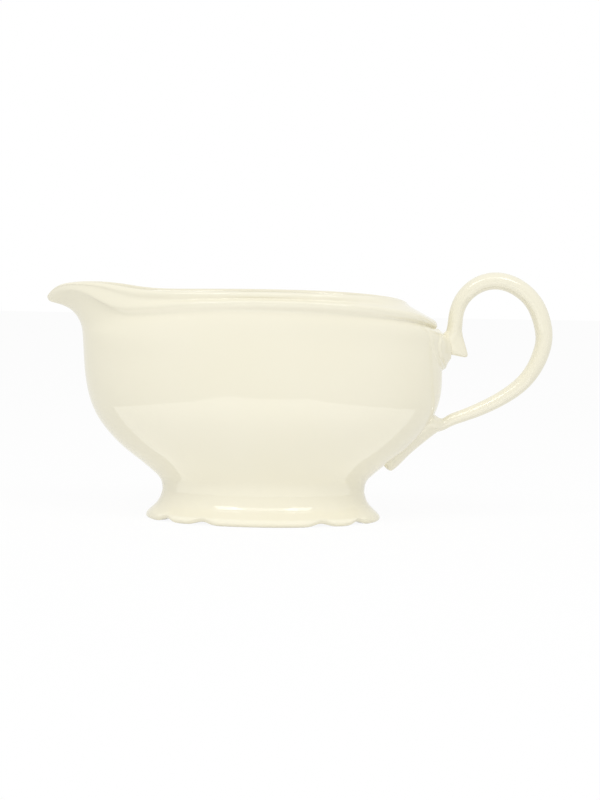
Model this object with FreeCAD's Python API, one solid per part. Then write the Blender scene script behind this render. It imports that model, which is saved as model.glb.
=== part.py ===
import FreeCAD, Part
import math
import os

# Gravy boat in glazed porcelain. Millimetres, +Z up.
# The origin is the centre of the foot's resting ring; -X is the spout, +X the handle.
# The boat is symmetric about the plane y = 0.

# ---- foot -------------------------------------------------------------------------
FOOT_HALF_LENGTH = 51.6       # origin to the tip of an end lobe
FOOT_HALF_WIDTH = 33.0        # origin to the side of a long lobe
FOOT_HEIGHT = 12.2            # height of the joint face under the bowl
FOOT_WALL = 3.2
EDGE_HEIGHT = 1.3             # height of the lobes' outermost line above the table
RESTING_BAND = 2.4            # width of the flat ring that stands on the table
RESTING_INSET = 1.7           # from the lobes' outermost line in to the flat ring
SCALLOP_DEPTH = 1.1           # how far the edge steps in between two lobes
SCALLOP_LIFT = 1.0            # how far the edge lifts there
SCALLOP_ANGLES = (34.7, 59.3)  # between the lobes, from either end of the long axis
SCALLOP_SPREAD = 5.0          # half-angle of a pinch between two lobes
INNER_SCALLOP = 0.4           # share of the scallops that the inside edge follows

# Outside of the foot, from the joint down: share of the height, share of the flare.
FLARE = ((1.0, 0.0), (0.76, 0.14), (0.47, 0.51), (0.21, 0.91))
# Rounded edge, from its outermost line to the flat ring: share of the inset, share of
# the edge's height.
EDGE_ROUND = ((0.0, 1.0), (0.13, 0.6), (0.46, 0.24), (1.0, 0.0))

# ---- waist, where the foot is luted to the bowl -----------------------------------
WAIST_HALF_LENGTH = 44.6
WAIST_HALF_WIDTH = 26.6
FOOT_SLIP = 0.8               # thickness of the slip between foot and bowl

# ---- bowl -------------------------------------------------------------------------
BOWL_WALL = 3.3
BOWL_FLOOR = 3.6
BELLY_FRONT = 80.0            # reach of the belly towards the spout
BELLY_BACK = 77.8             # reach of the belly towards the handle
BELLY_HALF_WIDTH = 42.8
RIM_HEIGHT = 100.4            # top of the lip, at the side
LEDGE_BELOW_RIM = 4.4         # crest of the ledge below the lip, at the side
SHOULDER_BELOW_LEDGE = 8.0    # where the belly turns in to the groove, at the side
LEDGE_SIDE_INSET = 1.6        # crest of the ledge, in from the belly's side
LEDGE_BACK_INSET = 2.8        # crest of the ledge, in from the belly's back
RIM_SIDE_INSET = 3.6          # outside of the lip, in from the belly's side
RIM_BACK_INSET = 15.4         # outside of the lip, in from the belly's back
LEDGE_DROP = 8.9              # how far the ledge arches down to the back
RIM_DROP = 3.8                # how far the lip arches down to the back
SPOUT_REACH = 96.1            # origin to the tip of the spout
SPOUT_RISE = 2.8              # the spout's shoulders above the lip at the side
SPOUT_SAG = 6.4               # the spout's tip below those shoulders
SPOUT_EDGE = 2.6              # the ledge's crest below the lip at the spout's tip
SPOUT_NARROWING = 0.40        # share of the width lost at the tip
SAG_SPREAD = 16.0             # half-angle of the sag at the tip
LIP_TURN = 49.0               # angle from the spout's axis where the lip climbs
LEDGE_TURN = 40.0             # angle where the ledge climbs into the spout's edge
TURN_SPREAD = 9.0
LOBE_LENGTH = 1.6             # bracket lobe at the back end of the ledge
LOBE_ANGLE = 9.0              # half-angle of that lobe
ARCH_SOFTNESS = 0.15          # rounds the ends of the arch along the ledge and the rim
BELLY_ARCH = 0.28             # share of the ledge's arch at the top row of the belly

# Belly from the waist (0) to the shoulder (1): share of the height, then the share of
# the way out from the waist at the front, at the back and at the sides.
BELLY = (
    (0.000, 0.000, 0.000, 0.000),
    (0.045, 0.018, 0.018, 0.020),
    (0.095, 0.108, 0.112, 0.110),
    (0.160, 0.275, 0.290, 0.290),
    (0.230, 0.468, 0.492, 0.500),
    (0.300, 0.625, 0.657, 0.680),
    (0.380, 0.765, 0.808, 0.845),
    (0.470, 0.872, 0.918, 0.965),
    (0.570, 0.940, 0.982, 1.000),
    (0.680, 0.978, 1.000, 0.985),
    (0.790, 0.996, 0.995, 0.940),
    (0.900, 1.012, 0.985, 0.880),
)

# Rings from the shoulder over the ledge to the collar. Lengths in from the ledge's back,
# from the spout's tip and from the ledge's side, height above the crest at the side,
# share of the ledge's drop at the back and before the spout, height above the ledge's
# tip at the spout, share of the rise to the spout, share of the spout's narrowing, X of
# the widest place, degrees added to LEDGE_TURN, share of the bracket lobe.
LEDGE_RINGS = (
    (-1.6, 14.5, 1.1, -8.0, 0.60, 0.90, -8.8, 0.00, 0.25, -1.0, 0.0, 0.0),
    (2.2, 11.2, 1.6, -3.8, 0.86, 1.50, -4.2, 0.35, 0.55, -1.0, 0.0, 0.5),
    (1.4, 7.0, 0.4, -1.8, 1.00, 1.75, -1.8, 0.80, 0.80, -1.0, 0.0, 1.0),
    (1.6, 3.2, 0.0, 0.0, 1.00, 1.80, -0.7, 1.00, 0.90, -1.0, 0.0, 1.0),
    (3.0, 0.9, 0.8, 0.9, 0.90, 1.60, 0.1, 1.00, 1.00, -1.2, 3.0, 1.0),
    (8.2, 0.1, 2.4, 1.7, 0.58, 1.00, 1.5, 1.00, 1.00, -1.8, 7.0, 0.0),
)
# Rings over the lip and down inside it. Lengths in from the lip's back, tip and side,
# height above the lip at the side, share of the lip's drop, height above the lip at the
# spout's tip, share of the rise, share of the narrowing, X of the widest place, degrees
# added to LIP_TURN.
LIP_RINGS = (
    (0.0, 0.0, 0.0, -1.1, 1.05, -0.7, 1.0, 1.0, -2.4, -2.0),
    (1.3, 1.0, 1.45, 0.0, 1.00, 0.0, 1.0, 1.0, -2.4, 0.0),
    (2.9, 2.9, 2.9, -0.9, 1.05, -0.8, 1.0, 1.0, -2.4, 0.0),
    (3.3, 6.6, 3.1, -4.4, 1.17, -3.4, 0.9, 1.0, -2.4, -4.0),
    (-1.6, 12.1, 3.0, -9.0, 1.87, -7.2, 0.5, 0.7, -1.4, -10.5),
    (-8.8, 18.1, 2.8, -15.0, 1.64, -12.8, 0.0, 0.25, -1.0, -10.5),
)
COVE = (1.1, 0.35)            # cove round the floor: walls in from the waist, walls up
FLAT_INSET = 3.0              # edge of the flat floor: walls in from the waist

# ---- handle -----------------------------------------------------------------------
HANDLE_REACH = 48.1           # back of the belly to the far side of the loop
HANDLE_RISE = 9.6             # top of the loop above the lip
HANDLE_LOW = 43.0             # height of the lower arm's root
HANDLE_GAP = 5.2              # upright arm's middle line behind the belly
HANDLE_HALF_THICKNESS = 3.4   # in the plane of the loop
HANDLE_HALF_WIDTH = 4.0       # across the boat
SPUR_DROP = 13.4              # thumb spur's tip below the foot of the upright arm
SPUR_KICK = 5.4               # thumb spur's tip behind the upright arm
HANDLE_SLIP = 0.4             # thickness of the slip under each end of the handle
BRIDGE_HALF_HEIGHT = 3.9
BRIDGE_HALF_WIDTH = 3.3
BRIDGE_DROP = 9.7             # bridge's middle line below the tip of the ledge
BRIDGE_SINK = 1.0             # bridge's end beyond the upright arm's middle line
LEAF_PROUD = 1.2              # joint face of the upper leaf, behind the belly
LEAF_SINK = 1.8               # how deep both leaves reach into the wall before the cut
LEAF_TOP = 3.2                # upper end of the upper leaf below the tip of the ledge
LEAF_BOTTOM = 20.6            # its lower end below the tip of the ledge

# Middle line of the loop. Rising side, from the foot of the upright arm to the top, and
# falling side, from the top to the root of the lower arm: share of the reach behind the
# arm, share of the height, and local thickness.
LOOP_RISE = (
    (0.000, 0.000, 0.97),
    (0.012, 0.237, 0.95),
    (0.060, 0.520, 0.98),
    (0.136, 0.727, 1.03),
    (0.256, 0.908, 1.08),
)
LOOP_FALL = (
    (0.435, 1.000, 1.11),
    (0.614, 0.980, 1.12),
    (0.767, 0.925, 1.13),
    (0.908, 0.822, 1.14),
    (1.000, 0.632, 1.11),
    (0.974, 0.512, 1.07),
    (0.910, 0.414, 1.03),
    (0.803, 0.316, 0.99),
    (0.652, 0.232, 0.95),
    (0.468, 0.160, 0.92),
    (0.281, 0.103, 0.90),
    (0.102, 0.060, 0.92),
    (-0.035, 0.028, 0.98),
)

# Bridge from the slip into the arm: share of the way, lift, share of the half-height
# and of the half-width.
BRIDGE = ((0.00, 0.0, 1.00, 1.00), (0.35, 0.1, 0.95, 0.86), (1.00, 0.2, 0.84, 0.70))

# Thumb spur below the upright arm: share of the drop, share of the kick, thickness.
SPUR = ((1.00, 1.00, 0.16), (0.82, 0.72, 0.45), (0.58, 0.38, 0.74), (0.30, 0.10, 0.90))

# Upper leaf on the belly, the inner petal and the outer one that frames it, from the
# lower end (0) to the upper end (1): share of the height, how far it stands out, half
# its width.
PETAL = (
    (0.00, 0.4, 2.6),
    (0.16, 1.2, 6.4),
    (0.36, 2.0, 9.8),
    (0.60, 2.2, 11.2),
    (0.82, 1.5, 9.8),
    (1.00, 0.7, 6.4),
)
FRAME = (
    (0.04, 0.3, 6.6),
    (0.16, 0.7, 11.2),
    (0.36, 0.8, 14.8),
    (0.60, 0.8, 17.0),
    (0.82, 0.7, 17.4),
    (1.00, 0.5, 16.8),
)

# Lower leaf on the belly, from its tip up to the arm: share of the height between the
# bowl's base and the arm's root, how far it stands out, half its width.
LOWER_LEAF = (
    (0.400, 3.9, 5.0),
    (0.487, 3.9, 5.4),
    (0.587, 3.0, 5.4),
    (0.750, 3.2, 6.2),
    (0.933, 5.2, 6.8),
)
# Last section of that leaf before the arm: behind the belly, above the arm's root,
# half-thickness, half-width, and its slope in the loop's plane in degrees.
LEAF_THROAT = (-0.8, 0.4, 4.1, 5.4)
LEAF_THROAT_SLOPE = -54.0

RING_POINTS = 60
SECTION_POINTS = 20
SEAM_ANGLE = 90.0             # where closed surfaces meet themselves, away from joints
CROWDING = 0.3                # draws the points of a ring towards the spout and the back

BOWL_BASE = FOOT_HEIGHT + FOOT_SLIP
LEDGE_HEIGHT = RIM_HEIGHT - LEDGE_BELOW_RIM
SHOULDER_HEIGHT = LEDGE_HEIGHT - SHOULDER_BELOW_LEDGE
LEDGE_HALF_WIDTH = BELLY_HALF_WIDTH - LEDGE_SIDE_INSET
LEDGE_BACK = BELLY_BACK - LEDGE_BACK_INSET
RIM_HALF_WIDTH = BELLY_HALF_WIDTH - RIM_SIDE_INSET
RIM_BACK = BELLY_BACK - RIM_BACK_INSET
LEAF_FACE = BELLY_BACK + LEAF_PROUD
BRIDGE_FACE = LEAF_FACE + HANDLE_SLIP
HANDLE_X = BELLY_BACK + HANDLE_GAP
HANDLE_TOP = RIM_HEIGHT + HANDLE_RISE
LEDGE_TIP_HEIGHT = LEDGE_HEIGHT - LEDGE_DROP
SPOUT_TIP = RIM_HEIGHT + SPOUT_RISE - SPOUT_SAG
SPOUT_LEDGE = SPOUT_TIP - SPOUT_EDGE
BRIDGE_HEIGHT = LEDGE_TIP_HEIGHT - BRIDGE_DROP


def angles(count, crowding=0.0):
    """Angles round a closed ring, drawn towards both ends of the long axis."""
    result = []
    for index in range(count):
        even = math.radians(SEAM_ANGLE) + 2 * math.pi * index / count
        result.append(even - crowding * math.sin(2 * even))
    return result


RING_ANGLES = angles(RING_POINTS, CROWDING)
SECTION_ANGLES = angles(SECTION_POINTS)


def from_handle(angle):
    """Angle from the handle's axis in degrees: 0 at the handle, 180 at the spout."""
    return abs(math.degrees(math.atan2(math.sin(angle), math.cos(angle))))


def from_spout(angle):
    """Angle from the spout's axis in degrees: 0 at the spout, 180 at the handle."""
    return 180.0 - from_handle(angle)


def fade(angle, spread):
    """1 at zero degrees, falling off like a bell within the spread."""
    return math.exp(-(angle / spread) ** 2)


def turn_up(angle, turn):
    """0 along the sides and 1 at the spout, passing one half at the angle turn."""
    return 0.5 + 0.5 * math.tanh((turn - from_spout(angle)) / TURN_SPREAD)


def arch(angle):
    """0 at the sides and 1 at both ends, like the drop of a half ellipse."""
    top = math.hypot(1.0, ARCH_SOFTNESS)
    bow = math.hypot(math.sin(angle), ARCH_SOFTNESS)
    return (top - bow) / (top - ARCH_SOFTNESS)


def egg_x(angle, back, front, middle):
    """X on an egg-shaped ring from back to -front that is widest at middle."""
    half = (back + front) / 2
    bend = ((back - front) / 2 - middle) / 2
    return middle + bend + half * math.cos(angle) + bend * math.cos(2 * angle)


def spout_dip(angle):
    """How far the lip lies below the spout's shoulders near the tip."""
    return SPOUT_SAG * fade(from_spout(angle), SAG_SPREAD)


def rim_ring(back, front, middle, half_width, narrowing, side, drops, tip, follow, turn):
    """Ring near the rim: it arches down at both ends and turns up at the spout.

    side and tip are its heights at the side and at the spout's tip, drops its drop at
    the back and before the spout, and follow is its share of the lip's rise to the
    spout's shoulders.
    """
    points = []
    for angle in RING_ANGLES:
        climb = turn_up(angle, turn)
        shoulder = follow * (SPOUT_SAG - spout_dip(angle))
        drop = drops[0] if math.cos(angle) > 0 else drops[1]
        z = (1 - climb) * (side - drop * arch(angle)) + climb * (tip + shoulder)
        spout_share = ((1 - math.cos(angle)) / 2) ** 4
        x = egg_x(angle, back, front, middle)
        y = half_width * math.sin(angle) * (1 - narrowing * spout_share)
        points.append(FreeCAD.Vector(x, y, z))
    return points


def lobed(points, length):
    """The ring with the ledge's bracket lobe drawn out at its back end."""
    result = []
    for point, angle in zip(points, RING_ANGLES):
        out = length * fade(from_handle(angle), LOBE_ANGLE)
        result.append(point + FreeCAD.Vector(out, 0, 0))
    return result


def level_ring(front, back, half_width, height):
    """Level egg-shaped ring."""
    points = []
    for angle in RING_ANGLES:
        x = egg_x(angle, back, front, (back - front) / 2)
        points.append(FreeCAD.Vector(x, half_width * math.sin(angle), height))
    return points


def belly_row(row):
    """Height, front, back and side reach of one row of BELLY."""
    height_share, front_share, back_share, side_share = row
    height = BOWL_BASE + height_share * (SHOULDER_HEIGHT - BOWL_BASE)
    front = WAIST_HALF_LENGTH + front_share * (BELLY_FRONT - WAIST_HALF_LENGTH)
    back = WAIST_HALF_LENGTH + back_share * (BELLY_BACK - WAIST_HALF_LENGTH)
    side = WAIST_HALF_WIDTH + side_share * (BELLY_HALF_WIDTH - WAIST_HALF_WIDTH)
    return height, front, back, side


def inner_row(index):
    """The row of the belly moved inwards by the wall, square to the front profile."""
    below = belly_row(BELLY[index - 1])
    above = belly_row(BELLY[min(index + 1, len(BELLY) - 1)])
    rise = above[0] - below[0]
    run = above[1] - below[1]
    slant = math.hypot(rise, run)
    inward = BOWL_WALL * rise / slant
    height, front, back, side = belly_row(BELLY[index])
    return height + BOWL_WALL * run / slant, front - inward, back - inward, side - inward


def curve_through(points, parameters, closed):
    """Cubic B-spline through the points at the given parameters."""
    curve = Part.BSplineCurve()
    curve.interpolate(Points=points, Parameters=parameters, PeriodicFlag=closed)
    return curve


def skin(rings):
    """Smooth surface through closed rings that all have the same number of points."""
    count = len(rings[0])
    around = [index / count for index in range(count + 1)]
    steps = [0.0]
    for ring, following in zip(rings[:-1], rings[1:]):
        gaps = [point.distanceToPoint(other) for point, other in zip(ring, following)]
        steps.append(steps[-1] + math.sqrt(sum(gaps) / count))
    along = [step / steps[-1] for step in steps]
    closed_curves = [curve_through(ring, around, True) for ring in rings]
    columns = zip(*[curve.getPoles() for curve in closed_curves])
    long_curves = [curve_through(list(column), along, False) for column in columns]
    row = closed_curves[0]
    column = long_curves[0]
    surface = Part.BSplineSurface()
    surface.buildFromPolesMultsKnots(
        [curve.getPoles() for curve in long_curves],
        row.getMultiplicities(), column.getMultiplicities(),
        row.getKnots(), column.getKnots(), True, False, row.Degree, column.Degree)
    return surface


def cap(surface, end):
    """Flat face that closes the skin at its first (0) or last (1) ring."""
    return Part.Face(Part.Wire([surface.vIso(end).toShape()]))


def solid_from(faces):
    """Closed solid from faces that meet edge to edge."""
    shell = Part.makeShell(faces)
    shell.sewShape()
    solid = Part.makeSolid(Part.makeShell(shell.Faces))
    if solid.Volume < 0:
        solid.reverse()
    return solid


def closed_skin(rings):
    """Solid skin through the rings, closed flat at both ends."""
    surface = skin(rings)
    return solid_from([surface.toShape(), cap(surface, 0), cap(surface, 1)])


def scallop(angle):
    """1 at a pinch between two lobes of the foot, 0 on the lobes."""
    end_angle = math.degrees(math.atan2(abs(math.sin(angle)), abs(math.cos(angle))))
    return sum(fade(end_angle - pinch, SCALLOP_SPREAD) for pinch in SCALLOP_ANGLES)


def foot_ring(flare, inset, height, lobe_share):
    """Ring of the foot: flare is the share of the way out from waist to edge."""
    points = []
    flare_length = flare * (FOOT_HALF_LENGTH - WAIST_HALF_LENGTH)
    flare_width = flare * (FOOT_HALF_WIDTH - WAIST_HALF_WIDTH)
    for angle in RING_ANGLES:
        pinch = lobe_share * scallop(angle)
        step = inset + SCALLOP_DEPTH * pinch
        x = (WAIST_HALF_LENGTH + flare_length - step) * math.cos(angle)
        y = (WAIST_HALF_WIDTH + flare_width - step) * math.sin(angle)
        lift = SCALLOP_LIFT * pinch * min(1.0, height / EDGE_HEIGHT)
        points.append(FreeCAD.Vector(x, y, height + lift))
    return points


def make_foot():
    """Hollow lobed pedestal that stands on one flat ring."""
    outside = []
    inside = []
    for height_share, flare in FLARE:
        lobe_share = (1 - height_share) ** 2
        height = height_share * FOOT_HEIGHT
        outside.append(foot_ring(flare, 0.0, height, lobe_share))
        inside.append(foot_ring(flare, FOOT_WALL, height, 0.0))
    for inset_share, height_share in EDGE_ROUND:
        outside.append(foot_ring(1.0, inset_share * RESTING_INSET,
                                 height_share * EDGE_HEIGHT, 1.0))
    inside.append(foot_ring(1.0, RESTING_INSET + RESTING_BAND, 0.0, INNER_SCALLOP))
    return closed_skin(outside).cut(closed_skin(inside))


def make_foot_slip():
    """Flat ring of slip that lutes the foot to the underside of the bowl."""
    heights = (FOOT_HEIGHT, BOWL_BASE)
    outer = closed_skin([foot_ring(0.0, 0.0, height, 0.0) for height in heights])
    inner = closed_skin([foot_ring(0.0, FOOT_WALL, height, 0.0) for height in heights])
    return outer.cut(inner)


def belly_ring(index, sizes):
    """Ring of one row of the belly; the top rows arch down with the ledge."""
    height, front, back, side = sizes
    share = BELLY_ARCH * (index / (len(BELLY) - 1)) ** 4
    drop = share * LEDGE_DROP
    return rim_ring(back, front, (back - front) / 2, side, 0.0, height, (drop, drop),
                    height, 0.0, LEDGE_TURN)


def ledge_ring(row):
    """Ring of one row of LEDGE_RINGS."""
    (back, front, side, rise, back_drop, front_drop, tip_rise, follow, narrowing, middle,
     turn, lobe) = row
    ring = rim_ring(LEDGE_BACK - back, SPOUT_REACH - front, middle,
                    LEDGE_HALF_WIDTH - side, narrowing * SPOUT_NARROWING,
                    LEDGE_HEIGHT + rise,
                    (back_drop * LEDGE_DROP, front_drop * LEDGE_DROP),
                    SPOUT_LEDGE + tip_rise, follow, LEDGE_TURN + turn)
    return lobed(ring, lobe * LOBE_LENGTH)


def lip_ring(row):
    """Ring of one row of LIP_RINGS."""
    back, front, side, rise, drop, tip_rise, follow, narrowing, middle, turn = row
    return rim_ring(RIM_BACK - back, SPOUT_REACH - front, middle, RIM_HALF_WIDTH - side,
                    narrowing * SPOUT_NARROWING, RIM_HEIGHT + rise,
                    (drop * RIM_DROP, drop * RIM_DROP), SPOUT_TIP + tip_rise, follow,
                    LIP_TURN + turn)


def floor_ring(inset, height):
    """Level ring on the floor, inset in walls from the waist."""
    half_length = WAIST_HALF_LENGTH - inset * BOWL_WALL
    return level_ring(half_length, half_length, WAIST_HALF_WIDTH - inset * BOWL_WALL, height)


def outside_rings():
    """Rings of the bowl's outside, from the joint face to the collar."""
    rings = [belly_ring(index, belly_row(row)) for index, row in enumerate(BELLY)]
    return rings + [ledge_ring(row) for row in LEDGE_RINGS]


def make_bowl():
    """Bowl, spout, ledge and rim as one casting, from the joint face to the floor."""
    rings = outside_rings() + [lip_ring(row) for row in LIP_RINGS]
    for index in range(len(BELLY) - 2, 1, -1):
        rings.append(belly_ring(index, inner_row(index)))
    floor = BOWL_BASE + BOWL_FLOOR
    cove_inset, cove_rise = COVE
    rings.append(floor_ring(cove_inset, floor + cove_rise * BOWL_WALL))
    rings.append(floor_ring(FLAT_INSET, floor))
    return closed_skin(rings)


def section(centre, direction, half_thickness, half_width):
    """Elliptical ring square to direction, which lies in the loop's plane."""
    across = FreeCAD.Vector(-direction.z, 0, direction.x)
    points = []
    for angle in SECTION_ANGLES:
        sideways = FreeCAD.Vector(0, half_width * math.sin(angle), 0)
        points.append(centre + across * (half_thickness * math.cos(angle)) + sideways)
    return points


def handle_line():
    """Points and thickness of the loop's middle line, from spur tip to lower root."""
    half_top = LOOP_FALL[0][2] * HANDLE_HALF_THICKNESS
    half_far = max(row[2] for row in LOOP_FALL if row[0] == 1) * HANDLE_HALF_THICKNESS
    top = HANDLE_TOP - half_top
    reach = HANDLE_REACH - HANDLE_GAP - half_far
    line = []
    for drop_share, kick_share, thickness in SPUR:
        line.append((HANDLE_X + kick_share * SPUR_KICK,
                     LEDGE_TIP_HEIGHT - drop_share * SPUR_DROP, thickness))
    for rows, base in ((LOOP_RISE, LEDGE_TIP_HEIGHT), (LOOP_FALL, HANDLE_LOW)):
        for reach_share, height_share, thickness in rows:
            line.append((HANDLE_X + reach_share * reach,
                         base + height_share * (top - base), thickness))
    return line


def handle_sections():
    """Rings of the loop and the direction of the lower arm at its root."""
    line = handle_line()
    points = [FreeCAD.Vector(x, 0, z) for x, z, thickness in line]
    curve = Part.BSplineCurve()
    curve.interpolate(points)
    directions = [curve.tangent(curve.parameter(point))[0] for point in points]
    rings = []
    for point, direction, (x, z, thickness) in zip(points, directions, line):
        rings.append(section(point, direction, thickness * HANDLE_HALF_THICKNESS,
                             thickness * HANDLE_HALF_WIDTH))
    return rings, directions[-1]


def make_handle(rings):
    """Loop with its thumb spur, and the short bridge to the upper leaf."""
    span = HANDLE_X + BRIDGE_SINK - BRIDGE_FACE
    outwards = FreeCAD.Vector(1, 0, 0)
    bridge_rings = []
    for share, lift, height_share, width_share in BRIDGE:
        centre = FreeCAD.Vector(BRIDGE_FACE + share * span, 0, BRIDGE_HEIGHT + lift)
        bridge_rings.append(section(centre, outwards, height_share * BRIDGE_HALF_HEIGHT,
                                    width_share * BRIDGE_HALF_WIDTH))
    return closed_skin(rings).fuse(closed_skin(bridge_rings))


def make_upper_slip():
    """Slip between the upper leaf's face and the bridge."""
    face = Part.Face(Part.Wire([closed_edge(section(
        FreeCAD.Vector(LEAF_FACE, 0, BRIDGE_HEIGHT), FreeCAD.Vector(1, 0, 0),
        BRIDGE_HALF_HEIGHT, BRIDGE_HALF_WIDTH))]))
    return face.extrude(FreeCAD.Vector(HANDLE_SLIP, 0, 0))


def closed_edge(ring):
    """Closed smooth edge through a ring's points."""
    count = len(ring)
    return curve_through(ring, [index / count for index in range(count + 1)], True).toShape()


def back_point(ring):
    """The point of a ring that lies furthest back."""
    return max(ring, key=lambda point: point.x)


def ellipse_at(height):
    """Centre, half-length and half-width of the bowl's back at a height.

    They are interpolated between the two rings whose back points enclose the height.
    """
    rings = outside_rings()
    upper = next(index for index, ring in enumerate(rings) if back_point(ring).z > height)
    sizes = []
    for ring in rings[upper - 1:upper + 1]:
        back = back_point(ring)
        front = min(point.x for point in ring)
        side = max(point.y for point in ring)
        sizes.append((back.z, (back.x + front) / 2, (back.x - front) / 2, side))
    below, above = sizes
    share = (height - below[0]) / (above[0] - below[0])
    return [low + share * (high - low) for low, high in zip(below[1:], above[1:])]


def petal_skin(rows):
    """Solid that follows the bowl's back: level sections bent along the belly."""
    rings = []
    for share, proud, half_width in rows:
        height = LEDGE_TIP_HEIGHT - LEAF_BOTTOM + share * (LEAF_BOTTOM - LEAF_TOP)
        centre, half_length, side = ellipse_at(height)
        ring = []
        for angle in SECTION_ANGLES:
            y = half_width * math.sin(angle)
            belly = centre + half_length * math.sqrt(1 - (y / side) ** 2)
            out = (proud - LEAF_SINK) / 2 + (proud + LEAF_SINK) / 2 * math.cos(angle)
            ring.append(FreeCAD.Vector(belly + out, y, height))
        rings.append(ring)
    return closed_skin(rings)


def make_upper_leaf(bowl):
    """Petal and its frame on the belly, with a flat face for the bridge."""
    leaf = petal_skin(PETAL).fuse(petal_skin(FRAME)).cut(bowl)
    size = 4 * BELLY_HALF_WIDTH
    corner = FreeCAD.Vector(LEAF_FACE, -size / 2, BRIDGE_HEIGHT - size / 2)
    return outermost(leaf).cut(Part.makeBox(size, size, size, corner)).Solids[0]


def outermost(shape):
    """The solid of a cut shape that lies furthest back, outside the bowl."""
    return max(shape.Solids, key=lambda solid: solid.BoundBox.XMax)


def back_profile(height):
    """Point of the belly's back at a height, and its outward direction."""
    rows = [belly_row(row) for row in BELLY]
    curve = Part.BSplineCurve()
    curve.interpolate([FreeCAD.Vector(row[2], 0, row[0]) for row in rows])
    level = Part.Line(FreeCAD.Vector(0, 0, height), FreeCAD.Vector(1, 0, height))
    crossing = curve.intersectCC(level)[0]
    point = FreeCAD.Vector(crossing.X, 0, crossing.Z)
    along = curve.tangent(curve.parameter(point))[0]
    return point, FreeCAD.Vector(along.z, 0, -along.x)


def make_lower_leaf(bowl, root_ring):
    """Long leaf that spreads from the lower arm down the belly."""
    rings = []
    for share, proud, half_width in LOWER_LEAF:
        point, outward = back_profile(BOWL_BASE + share * (HANDLE_LOW - BOWL_BASE))
        centre = point + outward * ((proud - LEAF_SINK) / 2)
        downward = FreeCAD.Vector(outward.z, 0, -outward.x)
        rings.append(section(centre, downward, (proud + LEAF_SINK) / 2, half_width))
    behind, above, half_thickness, half_width = LEAF_THROAT
    slope = math.radians(LEAF_THROAT_SLOPE)
    downward = FreeCAD.Vector(math.sin(slope), 0, -math.cos(slope))
    rings.append(section(FreeCAD.Vector(BELLY_BACK + behind, 0, HANDLE_LOW + above),
                         downward, half_thickness, half_width))
    rings.append(root_ring)
    return outermost(closed_skin(rings).cut(bowl))


def main():
    bowl = make_bowl()
    rings, direction = handle_sections()
    root_slip = Part.Face(Part.Wire([closed_edge(rings[-1])]))
    slip_step = direction * HANDLE_SLIP
    root_ring = [point + slip_step for point in rings[-1]]
    nodes = {
        "foot": make_foot(),
        "foot_joint_slip": make_foot_slip(),
        "bowl": bowl,
        "upper_leaf": make_upper_leaf(bowl),
        "lower_leaf": make_lower_leaf(bowl, root_ring),
        "handle": make_handle(rings),
        "upper_joint_slip": make_upper_slip(),
        "lower_joint_slip": root_slip.extrude(slip_step),
    }
    os.makedirs("parts", exist_ok=True)
    for name, shape in nodes.items():
        shape.exportStep("parts/" + name + ".step")
        print(name, shape.isValid(), len(shape.Solids), round(shape.Volume), shape.BoundBox)


main()
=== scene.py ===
import bpy
import math
import numpy as np
from mathutils import Matrix, Vector


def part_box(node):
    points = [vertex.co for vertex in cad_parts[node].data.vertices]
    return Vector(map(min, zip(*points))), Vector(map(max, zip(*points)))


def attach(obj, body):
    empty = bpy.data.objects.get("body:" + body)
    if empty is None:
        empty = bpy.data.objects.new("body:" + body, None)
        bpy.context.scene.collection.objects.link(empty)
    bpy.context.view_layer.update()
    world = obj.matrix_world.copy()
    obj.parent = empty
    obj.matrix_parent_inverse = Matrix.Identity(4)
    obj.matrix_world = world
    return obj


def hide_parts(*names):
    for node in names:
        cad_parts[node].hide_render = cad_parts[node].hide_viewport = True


# Cream-glazed gravy boat. Shapes are worked out in millimetres and put into meshes in
# metres. -X is the spout, +X the handle, and the boat is symmetric about y = 0.

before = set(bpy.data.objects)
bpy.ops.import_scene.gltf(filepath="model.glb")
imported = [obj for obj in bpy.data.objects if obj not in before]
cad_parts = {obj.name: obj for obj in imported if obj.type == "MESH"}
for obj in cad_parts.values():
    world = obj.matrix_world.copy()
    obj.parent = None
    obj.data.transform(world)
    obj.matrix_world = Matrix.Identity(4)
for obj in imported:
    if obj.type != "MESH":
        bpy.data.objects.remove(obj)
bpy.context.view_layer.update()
MM = 0.001
TINY = 1e-12                  # keeps the length of a normal above zero


def box_mm(node):
    """Lowest and highest corner of a CAD node in millimetres."""
    low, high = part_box(node)
    return np.array(low) / MM, np.array(high) / MM


foot_low, foot_high = box_mm("foot")
bowl_low, bowl_high = box_mm("bowl")
handle_low, handle_high = box_mm("handle")

# ---- foot -------------------------------------------------------------------------
FOOT_HALF_LENGTH = foot_high[0]
FOOT_HALF_WIDTH = foot_high[1]
FOOT_HEIGHT = foot_high[2]
FOOT_WALL = 3.2
EDGE_HEIGHT = 1.1
RESTING_BAND = 2.4
RESTING_INSET = 0.9
SCALLOP_DEPTH = 1.1
SCALLOP_LIFT = 1.35
SCALLOP_ANGLES = (34.7, 59.3)
SCALLOP_SPREAD = 5.0
SCALLOP_FADE = 2              # power by which the scallops fade up the foot
INNER_SCALLOP = 0.4           # share of their depth on the inside of the resting ring
# Foot from the joint down: share of its height, share of the way out to the edge.
FLARE = ((1.0, 0.0), (0.76, 0.12), (0.54, 0.34), (0.32, 0.73), (0.17, 0.97))
# Rounding from the edge to the resting ring: share of the inset, share of the height.
EDGE_ROUND = ((0.0, 1.0), (0.13, 0.6), (0.46, 0.24), (1.0, 0.0))

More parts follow.
